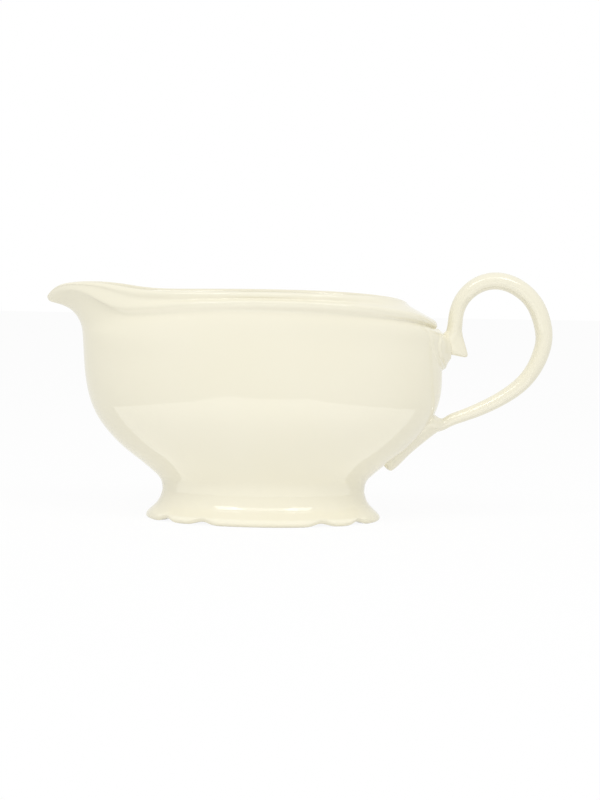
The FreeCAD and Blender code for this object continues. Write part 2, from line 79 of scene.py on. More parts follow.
# ---- waist and bowl ---------------------------------------------------------------
WAIST_HALF_LENGTH = 44.6
WAIST_HALF_WIDTH = 26.6
BOWL_BASE = bowl_low[2]
BOWL_WALL = 3.3
BOWL_FLOOR = 3.6
BELLY_FRONT = 80.0
BELLY_BACK = bowl_high[0]
BELLY_HALF_WIDTH = bowl_high[1]
SHOULDER_HEIGHT = 88.0
LEDGE_HEIGHT = 96.0
LEDGE_HALF_WIDTH = 41.2
LEDGE_BACK = 75.0
LEDGE_DROP = 8.9
BELLY_ARCH = 0.28             # share of the ledge's drop in the top row of the belly
BELLY_ARCH_POWER = 4
SPOUT_RISE = 2.8
SHOULDER_LOSS = 0.2           # how far the spout's shoulders stay below lip and rise
RIM_HEIGHT = bowl_high[2] - SPOUT_RISE + SHOULDER_LOSS
RIM_HALF_WIDTH = 39.2
RIM_BACK = 62.4
RIM_DROP = 3.8
TIP_SWELL = 0.1               # how far the rounded tip swells past its rings
SPOUT_REACH = -bowl_low[0] - TIP_SWELL
SPOUT_SAG = 6.4
SPOUT_TIP = RIM_HEIGHT + SPOUT_RISE - SPOUT_SAG
TIP_THICKNESS = 2.6
SPOUT_LEDGE = SPOUT_TIP - TIP_THICKNESS
SPOUT_NARROWING = 0.40
NARROWING_POWER = 4
SAG_SPREAD = 16.0
LIP_TURN = 49.0
LEDGE_TURN = 40.0
TURN_SPREAD = 9.0
LOBE_LENGTH = 1.6
LOBE_ANGLE = 9.0
# Belly from the joint up: share of the way to the shoulder, then of the way out from the
# waist at the front, the back and the sides.
BELLY = (
    (0.000, 0.000, 0.000, 0.000),
    (0.045, 0.018, 0.018, 0.020),
    (0.095, 0.108, 0.112, 0.110),
    (0.160, 0.275, 0.290, 0.290),
    (0.230, 0.468, 0.492, 0.500),
    (0.300, 0.625, 0.657, 0.680),
    (0.380, 0.765, 0.808, 0.845),
    (0.470, 0.872, 0.918, 0.965),
    (0.570, 0.940, 0.982, 1.000),
    (0.680, 0.978, 1.000, 0.985),
    (0.790, 0.996, 0.995, 0.940),
    (0.900, 1.012, 0.985, 0.880),
)

# Rings from the shoulder over the ledge to the collar. Lengths in from the ledge's back,
# from the spout's tip and from the ledge's side, height above the crest at the side,
# share of the ledge's drop at the back and before the spout, height above the ledge's
# tip at the spout, share of the rise to the spout, share of the spout's narrowing, X of
# the widest place, degrees added to LEDGE_TURN, share of the bracket lobe.
LEDGE_RINGS = (
    (-1.6, 14.5, 1.1, -8.0, 0.60, 0.90, -8.8, 0.00, 0.25, -1.0, 0.0, 0.0),
    (2.2, 11.2, 1.6, -3.8, 0.80, 1.50, -4.2, 0.35, 0.55, -1.0, 0.0, 1.2),
    (1.4, 7.0, 0.4, -1.8, 0.96, 1.75, -1.8, 0.80, 0.80, -1.0, 0.0, 1.0),
    (1.6, 3.2, 0.0, 0.0, 1.00, 1.80, -0.7, 1.00, 0.90, -1.0, 0.0, 1.0),
    (3.0, 0.9, 0.8, 0.9, 0.90, 1.60, 0.1, 1.00, 1.00, -1.2, 3.0, 1.0),
    (8.2, 0.1, 2.4, 1.7, 0.58, 1.00, 1.5, 1.00, 1.00, -1.8, 7.0, 0.0),
)
# Rings of the inner floor: inset from the waist and height above the floor, in walls.
FLOOR_RINGS = ((1.1, 0.35), (3.0, 0.0))

# Rings over the lip and down inside it. Lengths in from the lip's back, tip and side,
# height above the lip at the side, share of the lip's drop, height above the lip at the
# spout's tip, share of the rise, share of the narrowing, X of the widest place, degrees
# added to LIP_TURN.
LIP_RINGS = (
    (0.0, 0.0, 0.0, -1.1, 1.05, -0.7, 1.0, 1.0, -2.4, -2.0),
    (1.3, 1.0, 1.45, 0.0, 1.00, 0.0, 1.0, 1.0, -2.4, 0.0),
    (2.9, 2.9, 2.9, -0.9, 1.05, -0.8, 1.0, 1.0, -2.4, 0.0),
    (3.3, 6.6, 3.1, -4.4, 1.17, -3.4, 0.9, 1.0, -2.4, -4.0),
    (-1.6, 12.1, 3.0, -9.0, 1.87, -7.2, 0.5, 0.7, -1.4, -10.5),
    (-8.8, 18.1, 2.8, -15.0, 1.64, -12.8, 0.0, 0.25, -1.0, -10.5),
)

# ---- handle -----------------------------------------------------------------------
HANDLE_HALF_THICKNESS = 3.4
HANDLE_HALF_WIDTH = 4.0
HANDLE_LOW = 43.0
HANDLE_GAP = 5.2
HANDLE_X = BELLY_BACK + HANDLE_GAP
LOOP_THICK = 1.11             # thickness at the top and at the far side of the loop
# Loop from the upright arm over the top: share of its reach, share of its rise, thickness.
LOOP = (
    (0.000, 0.696, 0.97),
    (0.012, 0.768, 0.95),
    (0.060, 0.854, 0.98),
    (0.136, 0.917, 1.03),
    (0.256, 0.972, 1.08),
    (0.435, 1.000, LOOP_THICK),
    (0.614, 0.980, 1.12),
    (0.767, 0.925, 1.13),
    (0.908, 0.822, 1.14),
    (1.000, 0.632, LOOP_THICK),
    (0.974, 0.512, 1.07),
    (0.910, 0.414, 1.03),
    (0.803, 0.316, 0.99),
    (0.652, 0.232, 0.95),
    (0.468, 0.160, 0.90),
    (0.281, 0.103, 0.85),
    (0.102, 0.058, 0.79),
    (-0.035, 0.024, 0.75),
)
# Foot of the upright arm from the spur up: height, left end, right end, half-width.
ARM_FOOT = (
    (72.55, 87.3, 88.0, 0.25),
    (72.8, 85.6, 88.5, 1.0),
    (73.3, 83.0, 88.8, 1.7),
    (74.1, 79.6, 88.8, 2.3),
    (75.4, 77.6, 88.5, 2.7),
    (77.6, 76.6, 87.8, 3.0),
    (80.0, 76.2, 87.1, 3.1),
    (81.6, 76.6, 86.6, 3.2),
    (82.8, 77.8, 86.4, 3.3),
    (83.8, 78.9, 86.2, 3.4),
    (85.2, 79.4, 86.15, 3.5),
)
# Lower leaf from the arm down: height on the belly, how far it stands out, half-width.
LOWER_LEAF = (
    (41.6, 4.9, 8.2),
    (35.5, 3.2, 8.0),
    (30.6, 3.0, 7.2),
    (27.6, 3.7, 6.8),
    (25.4, 3.9, 5.7),
    (24.7, 3.6, 4.7),
    (24.2, 2.5, 3.2),
    (24.0, 0.9, 1.4),
)
# Throat between the arm and the lower leaf: X, Z, half-thickness, half-width, slope.
LEAF_THROAT = (
    (79.0, 43.1, 2.55, 3.7, -68.0),
    (76.6, 43.5, 3.9, 5.2, -66.0),
    (74.3, 44.3, 5.4, 7.2, -62.0),
)
LEAF_FLARE = 1.7              # 1 is a round section, more runs out thin into the belly
LEAF_SINK = 1.8
# Upper leaf: low and high end, half-width, and the powers of its outline.
FRAME_OUTLINE = (66.2, 90.0, 17.4, 0.40, 0.15)
PETAL_OUTLINE = (66.9, 84.6, 11.2, 0.75, 0.45)
STEEPEST_OUTLINE = 4.0
LEAF_SUNK = 0.6
LEAF_BACKING = 2.2            # depth of the leaf's back in the wall
FRAME_STEP = 1.3
FRAME_STEP_SPREAD = 2.4
PETAL_STEP = 0.6
PETAL_STEP_SPREAD = 1.0
PETAL_CREST = 1.2
PETAL_DOME = 7.0
PETAL_SWELL_POWER = 0.8
TUCK = 0.08                   # share of the leaf's length that sinks under the ledge
LEAF_THINNING = 0.65          # share of its height lost above the height THIN_FROM
THIN_FROM = 79.5
THIN_SPREAD = 4.0
# Neck of the upright arm on the petal: height, half-height, half-width.
NECK = (76.5, 5.0, 3.0)
NECK_FLARE = 1.7
NECK_FILLET = 1.5

AROUND = 480                  # points round the bowl and the foot
CROWDING = 0.3                # how strongly they crowd towards spout and handle
BODY_STEPS = 5                # rows from one ring of the bowl to the next
TUBE_AROUND = 64              # points round the handle
TUBE_STEPS = 8
LEAF_ANGLE = 28               # degrees to either side of the handle
LEAF_ACROSS = 281             # points across the upper leaf
LEAF_STEPS = 24
LEAF_RINGS = (-3, 1)          # first and last ring under the leaf, counted from the shoulder

# ---- stage and glaze, places in metres --------------------------------------------
CAMERA_LENS = 90.9
CAMERA_PLACE = (0.016, -0.887, 0.116)
CAMERA_TARGET = (0.0155, 0.0, 0.0525)
CAMERA_ROLL = 0.96
FLOOR_SIZE = 6.0
FLOOR_GREY = 0.95
FLOOR_ROUGHNESS = 0.9
FLOOR_GLOW = 0.92             # share of its own even white that the floor shows
ROOM_LEVEL = 0.68             # light of the white room
# Soft lights overhead: name, X, width, depth, power.
PANELS = (
    ("left_panel", -0.5, 0.4, 0.45, 2.5),
    ("right_panel", 0.5, 0.4, 0.45, 2.3),
    ("middle_panel", 0.0, 0.9, 0.35, 1.9),
)
PANEL_PLACE = (-0.75, 1.1)    # Y and Z
PANEL_TARGET = (0, 0, 0.05)
# White sheet on the floor before the boat.
SHEET_CENTRE = (0.01, -0.325, 0.003)
SHEET_SIZE = (0.36, 0.62, 1.0)
SHEET_LEVEL = 2.1
THIN_GLAZE = (0.90, 0.862, 0.715, 1)
POOLED_GLAZE = (0.88, 0.84, 0.675, 1)
LEAST_ROUGHNESS = 0.03
ROUGHNESS_SPREAD = 0.02


def ring_angles(count, crowding):
    """Angles round a closed ring, drawn towards both ends of the long axis."""
    even = np.linspace(0, 2 * np.pi, count, endpoint=False)
    return even - crowding * np.sin(2 * even)


def from_handle(angle):
    """Angle from the handle's axis in degrees: 0 at the handle, 180 at the spout."""
    return np.abs(np.degrees(np.arctan2(np.sin(angle), np.cos(angle))))


def from_spout(angle):
    """Angle from the spout's axis in degrees."""
    return 180.0 - from_handle(angle)


def fade(angle, spread):
    """1 at zero degrees, falling off like a bell within the spread."""
    return np.exp(-(angle / spread) ** 2)


def turn_up(angle, turn):
    """0 along the sides and 1 at the spout, passing one half at the angle turn."""
    return 0.5 + 0.5 * np.tanh((turn - from_spout(angle)) / TURN_SPREAD)


def arch(angle):
    """0 at the sides and 1 at both ends, like the drop of a half ellipse."""
    soft = 0.15
    top = math.hypot(1.0, soft)
    return (top - np.hypot(np.sin(angle), soft)) / (top - soft)


def egg_x(angle, back, front, middle):
    """X on an egg-shaped ring from back to -front that is widest at middle."""
    half = (back + front) / 2
    bend = ((back - front) / 2 - middle) / 2
    return middle + bend + half * np.cos(angle) + bend * np.cos(2 * angle)


def rim_ring(angle, back, front, middle, half_width, narrowing, side, drops, tip,
             follow, turn):
    """Ring near the rim: it arches down at both ends and turns up at the spout.

    side and tip are its heights at the side and at the spout's tip, drops its drop at
    the back and before the spout, and follow is its share of the lip's rise to the
    spout's shoulders.
    """
    drop = np.where(np.cos(angle) > 0, drops[0], drops[1])
    climb = turn_up(angle, turn)
    shoulder = follow * SPOUT_SAG * (1 - fade(from_spout(angle), SAG_SPREAD))
    z = (1 - climb) * (side - drop * arch(angle)) + climb * (tip + shoulder)
    spout_share = ((1 - np.cos(angle)) / 2) ** NARROWING_POWER
    x = egg_x(angle, back, front, middle)
    y = half_width * np.sin(angle) * (1 - narrowing * spout_share)
    return np.stack([x, y, z], axis=-1)


def level_ring(angle, half_length, half_width, height):
    """Level ellipse."""
    flat = np.full_like(angle, height)
    return np.stack([half_length * np.cos(angle), half_width * np.sin(angle), flat], axis=-1)


def through(rings, steps):
    """Smooth grid through the rings: a cubic spline along each column.

    The parameter grows with the square root of the mean gap between rings, the slopes
    at both ends come from a parabola through three rings, and every step between two
    rings is cut into the same number of rows, so the rings themselves are rows.
    """
    rings = np.asarray(rings)
    gaps = np.linalg.norm(np.diff(rings, axis=0), axis=2).mean(axis=1)
    t = np.concatenate([[0.0], np.cumsum(np.sqrt(gaps))])
    h = np.diff(t)
    slope = np.diff(rings, axis=0) / h[:, None, None]
    first = slope[0] - h[0] * (slope[1] - slope[0]) / (h[0] + h[1])
    last = slope[-1] + h[-1] * (slope[-1] - slope[-2]) / (h[-1] + h[-2])
    count = len(rings)
    matrix = np.zeros((count, count))
    right = np.zeros_like(rings)
    matrix[0, 0] = matrix[-1, -1] = 1.0
    right[0] = first
    right[-1] = last
    inner = np.arange(1, count - 1)
    matrix[inner, inner - 1] = h[1:]
    matrix[inner, inner] = 2 * (h[:-1] + h[1:])
    matrix[inner, inner + 1] = h[:-1]
    right[1:-1] = 3 * (h[1:, None, None] * slope[:-1] + h[:-1, None, None] * slope[1:])
    tangents = np.linalg.solve(matrix, right.reshape(count, -1)).reshape(rings.shape)
    rows = []
    for index in range(count - 1):
        s = np.linspace(0, 1, steps, endpoint=False)[:, None, None]
        start, end = rings[index], rings[index + 1]
        rows.append((2 * s**3 - 3 * s**2 + 1) * start
                    + (s**3 - 2 * s**2 + s) * h[index] * tangents[index]
                    + (3 * s**2 - 2 * s**3) * end
                    + (s**3 - s**2) * h[index] * tangents[index + 1])
    rows.append(rings[-1:])
    return np.concatenate(rows)


def scallop(angle):
    """1 at a pinch between two lobes of the foot, 0 on the lobes."""
    end_angle = np.degrees(np.arctan2(np.abs(np.sin(angle)), np.abs(np.cos(angle))))
    return sum(fade(end_angle - pinch, SCALLOP_SPREAD) for pinch in SCALLOP_ANGLES)


def foot_ring(angle, flare, inset, height, lobe_share):
    """Ring of the foot: flare is the share of the way out from waist to edge."""
    pinch = lobe_share * scallop(angle)
    step = inset + SCALLOP_DEPTH * pinch
    length = WAIST_HALF_LENGTH + flare * (FOOT_HALF_LENGTH - WAIST_HALF_LENGTH) - step
    width = WAIST_HALF_WIDTH + flare * (FOOT_HALF_WIDTH - WAIST_HALF_WIDTH) - step
    z = height + SCALLOP_LIFT * pinch
    return np.stack([length * np.cos(angle), width * np.sin(angle), z], axis=-1)


def foot_outside(angle):
    """Rings of the foot's outside, from the resting ring up to the joint."""
    rings = [foot_ring(angle, 1.0, inset * RESTING_INSET, height * EDGE_HEIGHT, 1.0)
             for inset, height in reversed(EDGE_ROUND)]
    for height, flare in reversed(FLARE):
        lobe_share = (1 - height) ** SCALLOP_FADE
        rings.append(foot_ring(angle, flare, 0.0, height * FOOT_HEIGHT, lobe_share))
    return rings


def foot_inside(angle):
    """Rings of the foot's hollow, from the joint down to the resting ring.

    The last ring rises as far as the outside between the lobes, at less of their depth.
    """
    rings = [foot_ring(angle, flare, FOOT_WALL, height * FOOT_HEIGHT, 0.0)
             for height, flare in FLARE]
    edge = foot_ring(angle, 1.0, RESTING_INSET + RESTING_BAND, 0.0, INNER_SCALLOP)
    edge[:, 2] = SCALLOP_LIFT * scallop(angle)
    rings.append(edge)
    return rings


def belly_row(row):
    """Height, front, back and side reach of one row of BELLY."""
    height_share, front_share, back_share, side_share = row
    height = BOWL_BASE + height_share * (SHOULDER_HEIGHT - BOWL_BASE)
    front = WAIST_HALF_LENGTH + front_share * (BELLY_FRONT - WAIST_HALF_LENGTH)
    back = WAIST_HALF_LENGTH + back_share * (BELLY_BACK - WAIST_HALF_LENGTH)
    side = WAIST_HALF_WIDTH + side_share * (BELLY_HALF_WIDTH - WAIST_HALF_WIDTH)
    return height, front, back, side


def inner_row(index):
    """The row of the belly moved inwards by the wall, square to the front profile."""
    below = belly_row(BELLY[index - 1])
    above = belly_row(BELLY[min(index + 1, len(BELLY) - 1)])
    rise = above[0] - below[0]
    run = above[1] - below[1]
    slant = math.hypot(rise, run)
    inward = BOWL_WALL * rise / slant
    height, front, back, side = belly_row(BELLY[index])
    return height + BOWL_WALL * run / slant, front - inward, back - inward, side - inward


def belly_ring(angle, index, sizes):
    """Ring of one row of the belly; the top rows arch down with the ledge."""
    height, front, back, side = sizes
    share = BELLY_ARCH * (index / (len(BELLY) - 1)) ** BELLY_ARCH_POWER
    drop = share * LEDGE_DROP
    return rim_ring(angle, back, front, (back - front) / 2, side, 0.0, height,
                    (drop, drop), height, 0.0, LEDGE_TURN)


def ledge_ring(angle, row):
    """Ring of one row of LEDGE_RINGS, with the bracket lobe at its back end."""
    (back, front, side, rise, back_drop, front_drop, tip_rise, follow, narrowing, middle,
     turn, lobe) = row
    ring = rim_ring(angle, LEDGE_BACK - back, SPOUT_REACH - front, middle,
                    LEDGE_HALF_WIDTH - side, narrowing * SPOUT_NARROWING,
                    LEDGE_HEIGHT + rise,
                    (back_drop * LEDGE_DROP, front_drop * LEDGE_DROP),
                    SPOUT_LEDGE + tip_rise, follow, LEDGE_TURN + turn)
    ring[:, 0] += lobe * LOBE_LENGTH * fade(from_handle(angle), LOBE_ANGLE)
    return ring


def lip_ring(angle, row):
    """Ring of one row of LIP_RINGS."""
    back, front, side, rise, drop, tip_rise, follow, narrowing, middle, turn = row
    return rim_ring(angle, RIM_BACK - back, SPOUT_REACH - front, middle,
                    RIM_HALF_WIDTH - side, narrowing * SPOUT_NARROWING,
                    RIM_HEIGHT + rise, (drop * RIM_DROP, drop * RIM_DROP),
                    SPOUT_TIP + tip_rise, follow, LIP_TURN + turn)


def bowl_outside(angle):
    """Rings from the joint with the foot up over the belly, the ledge and the collar."""
    rings = [belly_ring(angle, index, belly_row(row)) for index, row in enumerate(BELLY)]
    return rings + [ledge_ring(angle, row) for row in LEDGE_RINGS]


def bowl_inside(angle):
    """Rings over the rounded lip and down the inside to the flat floor."""
    rings = [lip_ring(angle, row) for row in LIP_RINGS]
    for index in range(len(BELLY) - 2, 1, -1):
        rings.append(belly_ring(angle, index, inner_row(index)))
    floor = BOWL_BASE + BOWL_FLOOR
    for inset, rise in FLOOR_RINGS:
        rings.append(level_ring(angle, WAIST_HALF_LENGTH - inset * BOWL_WALL,
                                WAIST_HALF_WIDTH - inset * BOWL_WALL,
                                floor + rise * BOWL_WALL))
    return rings


def section(angle, centre_x, centre_z, direction, half_thickness, half_width):
    """Elliptical ring in the plane square to a direction of the loop's plane."""
    along_x, along_z = direction
    reach = half_thickness * np.cos(angle)
    return np.stack([centre_x - along_z * reach, -half_width * np.sin(angle),
                     centre_z + along_x * reach], axis=-1)


def arm_foot_rings(angle):
    """Level rings where the upright arm spreads into the bridge and the thumb spur."""
    rings = []
    for height, left, right, half_width in ARM_FOOT:
        rings.append(section(angle, (left + right) / 2, height, (0.0, 1.0),
                             (right - left) / 2, half_width))
    return rings


def loop_rings(angle):
    """Rings along the loop, each square to the line through its neighbours."""
    top = handle_high[2] - LOOP_THICK * HANDLE_HALF_THICKNESS
    reach = handle_high[0] - HANDLE_X - LOOP_THICK * HANDLE_HALF_THICKNESS
    share = np.array(LOOP)
    x = HANDLE_X + share[:, 0] * reach
    z = HANDLE_LOW + share[:, 1] * (top - HANDLE_LOW)
    run, rise = np.gradient(x), np.gradient(z)
    length = np.hypot(run, rise)
    rings = []
    for index in range(len(share)):
        direction = (run[index] / length[index], rise[index] / length[index])
        thick = share[index, 2]
        rings.append(section(angle, x[index], z[index], direction,
                             thick * HANDLE_HALF_THICKNESS, thick * HANDLE_HALF_WIDTH))
    return rings


def back_profile(height):
    """X of the belly's back at a height, its outward direction, and the radius of the
    level curve there, which is side^2 / half-length on an ellipse."""
    rows = np.array([belly_row(row) for row in BELLY])
    near = 2.5
    x = np.interp([height - near, height, height + near], rows[:, 0], rows[:, 2])
    front = np.interp(height, rows[:, 0], rows[:, 1])
    side = np.interp(height, rows[:, 0], rows[:, 3])
    slant = math.hypot(x[2] - x[0], 2 * near)
    outward = (2 * near / slant, -(x[2] - x[0]) / slant)
    return x[1], outward, 2 * side ** 2 / (x[1] + front)


def leaf_rings(angle):
    """Rings of the lower leaf, from the arm's root down the belly.

    Each ring is bent to the belly's own curve: it stands out by proud * cos(angle) to
    the power of the flare on the outside and sinks into the wall on the inside.
    """
    rings = []
    for x, z, half_thickness, half_width, slope in LEAF_THROAT:
        downward = (math.sin(math.radians(slope)), -math.cos(math.radians(slope)))
        rings.append(section(angle, x, z, downward, half_thickness, half_width))
    across, reach = np.sin(angle), np.cos(angle)
    for height, proud, half_width in LOWER_LEAF:
        point_x, outward, curve = back_profile(height)
        y = -half_width * across
        out = np.where(reach > 0, proud * np.abs(reach) ** LEAF_FLARE, LEAF_SINK * reach)
        out = out - y * y / (2 * curve)
        rings.append(np.stack([point_x + outward[0] * out, y,
                               height + outward[1] * out], axis=-1))
    return rings


def petal_width(height, low, high, width, rise, fall):
    """Half-width of a leaf: width * t^rise * (1 - t)^fall, scaled to width at its widest,
    where t runs from 0 at its pointed lower end to 1 at its upper end."""
    t = np.clip((height - low) / (high - low), 0, 1)
    widest = rise / (rise + fall)
    peak = widest ** rise * (1 - widest) ** fall
    return width * t ** rise * (1 - t) ** fall / peak


def smooth_step(distance, spread):
    """0 below zero and 1 above the spread, with level ends."""
    t = np.clip(distance / spread, 0, 1)
    return t * t * (3 - 2 * t)


def upper_leaf_grid():
    """Closed skin of the handle's upper leaf.

    The bowl's back between the belly and the groove, moved out along its normal by a
    height that steps up at the outline of the frame and again at that of the petal,
    swells in the petal's middle, and sinks below the belly outside them and under the
    ledge. Round the arm's neck it rises by a flare that falls off like exp(-distance),
    and near the ledge all of it grows thinner.
    """
    angle = np.radians(np.linspace(LEAF_ANGLE, -LEAF_ANGLE, LEAF_ACROSS))
    first, last = ((len(BELLY) + ring) * LEAF_STEPS for ring in LEAF_RINGS)
    rows = through(bowl_outside(angle), LEAF_STEPS)[first:last + 1]
    patch = rows.transpose(1, 0, 2)
    normals = np.cross(np.gradient(patch, axis=1), np.gradient(patch, axis=0))
    normals /= np.linalg.norm(normals, axis=2, keepdims=True)
    across, height = np.abs(patch[:, :, 1]), patch[:, :, 2]
    inside = []
    for outline in (FRAME_OUTLINE, PETAL_OUTLINE):
        width = petal_width(height, *outline)
        slope = np.gradient(width, axis=1) / np.gradient(height, axis=1)
        slant = np.hypot(1, np.minimum(np.abs(slope), STEEPEST_OUTLINE))
        inside.append((width - across) / slant)
    frame_in, petal_in = inside
    dome = 1 - np.clip(1 - petal_in / PETAL_DOME, 0, 1) ** 2
    low, high = PETAL_OUTLINE[:2]
    swell = np.sin(np.pi * np.clip((height - low) / (high - low), 0, 1))
    tucked = smooth_step(np.linspace(1, 0, patch.shape[1]), TUCK)
    lift = (-LEAF_SUNK + FRAME_STEP * smooth_step(frame_in, FRAME_STEP_SPREAD) * tucked
            + PETAL_STEP * smooth_step(petal_in, PETAL_STEP_SPREAD) * tucked
            + PETAL_CREST * dome * swell ** PETAL_SWELL_POWER)
    from_neck = np.hypot(across / NECK[2], (height - NECK[0]) / NECK[1])
    lift += NECK_FLARE * np.exp(-np.maximum(from_neck - 1, 0) * NECK[2] / NECK_FILLET)
    lift *= 1 - LEAF_THINNING * smooth_step(height - THIN_FROM, THIN_SPREAD)
    outer = patch + normals * lift[:, :, None]
    inner = (patch - normals * LEAF_BACKING)[:, ::-1]
    return np.concatenate([outer, inner], axis=1)


def grid_normals(grid):
    """Outward normals of a grid whose columns close on themselves."""
    along = np.gradient(grid, axis=0)
    across = np.roll(grid, -1, axis=1) - np.roll(grid, 1, axis=1)
    normals = np.cross(across, along)
    return normals / np.maximum(np.linalg.norm(normals, axis=2, keepdims=True), TINY)


def piece(name, grid, normals, material, closed=False):
    """Mesh object from a grid of rings in millimetres.

    Quads join each ring to the next. The ends are closed with flat fans, or, when
    closed, the last ring is joined to the first by a band that is shaded flat.
    """
    rows, columns = grid.shape[:2]
    points = grid.reshape(-1, 3)
    smooth = normals.reshape(-1, 3)
    index = np.arange(rows * columns).reshape(rows, columns)
    beside = np.roll(index, -1, axis=1)
    quads = np.stack([index[:-1], beside[:-1], beside[1:], index[1:]], axis=-1)
    quads = quads.reshape(-1, 4)
    loops = [quads.ravel()]
    corner_normals = [smooth[quads.ravel()]]
    sizes = [np.full(len(quads), 4)]
    if closed:
        band = np.stack([index[-1], beside[-1], beside[0], index[0]], axis=-1)
        loops.append(band.ravel())
        corner_normals.append(np.tile(face_normal(points[band[0]]), (band.size, 1)))
        sizes.append(np.full(columns, 4))
    else:
        centres = np.stack([grid[0].mean(axis=0), grid[-1].mean(axis=0)])
        points = np.concatenate([points, centres])
        ends = ((beside[0], index[0], len(points) - 2), (index[-1], beside[-1], len(points) - 1))
        for near, far, centre in ends:
            fan = np.stack([near, far, np.full(columns, centre)], axis=-1)
            loops.append(fan.ravel())
            corner_normals.append(np.tile(face_normal(points[fan[0]]), (fan.size, 1)))
            sizes.append(np.full(columns, 3))
    return mesh_object(name, points, np.concatenate(loops), np.concatenate(sizes),
                       np.concatenate(corner_normals), material)


def face_normal(corners):
    """Unit normal of a flat face from its first three corners."""
    normal = np.cross(corners[1] - corners[0], corners[2] - corners[0])
    return normal / max(np.linalg.norm(normal), TINY)


def mesh_object(name, points, loops, sizes, corner_normals, material):
    """Object whose mesh has these points (mm), polygons and corner normals."""
    mesh = bpy.data.meshes.new(name)
    mesh.vertices.add(len(points))
    mesh.vertices.foreach_set("co", (points * MM).ravel())
    mesh.loops.add(len(loops))
    mesh.loops.foreach_set("vertex_index", loops)
    mesh.polygons.add(len(sizes))
    mesh.polygons.foreach_set("loop_start", np.concatenate([[0], np.cumsum(sizes)[:-1]]))
    mesh.polygons.foreach_set("use_smooth", np.ones(len(sizes), bool))
    mesh.update(calc_edges=True)
    mesh.validate()
    mesh.normals_split_custom_set(corner_normals.tolist())
    mesh.materials.append(material)
    made = bpy.data.objects.new(name, mesh)
    bpy.context.scene.collection.objects.link(made)
    return made


class Value:
    """A shader socket that takes part in Python arithmetic."""

    def __init__(self, tree, socket):
        self.tree = tree
        self.socket = socket

    def maths(self, operation, other, swapped=False):
        """Math node of this value and another, in this order or swapped."""
        pair = (other, self) if swapped else (self, other)
        return node(self.tree, "ShaderNodeMath", {"operation": operation},
                    {0: pair[0], 1: pair[1]})

    def __radd__(self, other):
        return self.maths("ADD", other, True)

    def __rsub__(self, other):
        return self.maths("SUBTRACT", other, True)

    def __mul__(self, other):
        return self.maths("MULTIPLY", other)


def node(tree, kind, settings=None, inputs=None, output=0):
    """Value of a new node, after its settings are made and its sockets are filled with
    values or links."""
    made = tree.nodes.new(kind)
    for name, value in (settings or {}).items():
        setattr(made, name, value)
    for key, value in (inputs or {}).items():
        if isinstance(value, Value):
            tree.links.new(value.socket, made.inputs[key])
        else:
            made.inputs[key].default_value = value
    return Value(tree, made.outputs[output])


def glaze(name, thin, thick):
    """Glossy cream glaze: a little darker where it pools, with the faint orange-peel
    waviness and pin-prick unevenness of a fired glaze."""
    material = bpy.data.materials.new(name)
    material.use_nodes = True
    tree = material.node_tree
    shader = tree.nodes["Principled BSDF"]
    where = node(tree, "ShaderNodeTexCoord", output="Object")
    pooling = node(tree, "ShaderNodeTexNoise", None,
                   {"Vector": where, "Scale": 28.0, "Detail": 2.0, "Roughness": 0.5})
    # A colour mix has its two colours at inputs 6 and 7 and its result at output 2.
    colour = node(tree, "ShaderNodeMix", {"data_type": "RGBA"},
                  {0: pooling, 6: thin, 7: thick}, output=2)
    speckle = node(tree, "ShaderNodeTexNoise", None,
                   {"Vector": where, "Scale": 900.0, "Detail": 1.0, "Roughness": 0.5})
    tree.links.new(colour.socket, shader.inputs["Base Color"])
    roughness = LEAST_ROUGHNESS + speckle * ROUGHNESS_SPREAD
    tree.links.new(roughness.socket, shader.inputs["Roughness"])
    waves = node(tree, "ShaderNodeTexNoise", None,
                 {"Vector": where, "Scale": 60.0, "Detail": 1.0, "Roughness": 0.4})
    bump = node(tree, "ShaderNodeBump", None,
                {"Strength": 0.05, "Distance": 0.0004, "Height": waves})
    tree.links.new(bump.socket, shader.inputs["Normal"])
    shader.inputs["IOR"].default_value = 1.5
    return material


def plain(name, colour, roughness):
    """One even finish without specular gloss, for the floor and the sheet."""
    material = bpy.data.materials.new(name)
    material.use_nodes = True
    shader = material.node_tree.nodes["Principled BSDF"]
    shader.inputs["Base Color"].default_value = colour
    shader.inputs["Roughness"].default_value = roughness
    shader.inputs["Specular IOR Level"].default_value = 0.0
    return material


def panel_light(name, place, target, width, depth, power):
    """Rectangular soft light at a place, aimed at a target."""
    data = bpy.data.lights.new(name, "AREA")
    data.shape = "RECTANGLE"
    data.size = width
    data.size_y = depth
    data.energy = power
    light = bpy.data.objects.new(name, data)
    bpy.context.scene.collection.objects.link(light)
    light.location = place
    aim = Vector(target) - Vector(place)
    light.rotation_euler = aim.to_track_quat("-Z", "Y").to_euler()


def make_camera():
    """Camera in front of the near side, a little above the lip."""
    data = bpy.data.cameras.new("camera")
    camera = bpy.data.objects.new("camera", data)
    bpy.context.scene.collection.objects.link(camera)
    data.lens = CAMERA_LENS
    place = Vector(CAMERA_PLACE)
    turn = (Vector(CAMERA_TARGET) - place).to_track_quat("-Z", "Y")
    roll = Matrix.Rotation(math.radians(CAMERA_ROLL), 4, "Z")
    camera.matrix_world = Matrix.Translation(place) @ turn.to_matrix().to_4x4() @ roll
    bpy.context.scene.camera = camera


def seen_as_white(tree):
    """1 for rays that show the surroundings themselves, to the camera or in a gloss."""
    camera, gloss, glass = [node(tree, "ShaderNodeLightPath", output=f"Is {kind} Ray")
                            for kind in ("Camera", "Glossy", "Transmission")]
    return 1 - (1 - camera) * (1 - gloss) * (1 - glass)


